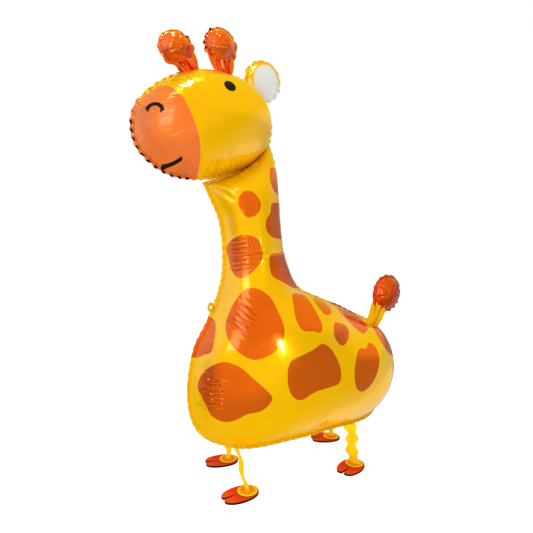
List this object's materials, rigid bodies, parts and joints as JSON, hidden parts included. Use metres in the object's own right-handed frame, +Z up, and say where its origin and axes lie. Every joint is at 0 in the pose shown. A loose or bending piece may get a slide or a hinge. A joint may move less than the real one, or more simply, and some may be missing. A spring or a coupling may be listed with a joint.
{
  "type": "giraffe foil balloon",
  "caption": "Standing giraffe of two foil balloons: a long-necked spotted body and a round head, on folded paper strip legs with flat card hooves",
  "frame": {"origin": "on the floor, under the middle of the part's bounding box", "axes": "+Z up, the giraffe faces -X, its left side is -Y"},
  "size_m": [0.635, 0.2256, 0.8983],
  "materials": {
    "body_foil": "metallised film, glossy, puckered at the seams",
    "head_foil": "metallised film, glossy, puckered at the seams",
    "leg_paper": "matt crepe paper, folded",
    "foot_card": "printed card, satin"
  },
  "bodies": {
    "root": {"body_balloon": "body_foil", "head_balloon": "head_foil", "leg_front_left": "leg_paper", "leg_front_right": "leg_paper", "leg_rear_left": "leg_paper", "leg_rear_right": "leg_paper", "foot_front_left": "foot_card", "foot_front_right": "foot_card", "foot_rear_left": "foot_card", "foot_rear_right": "foot_card"}
  },
  "joints": []
}
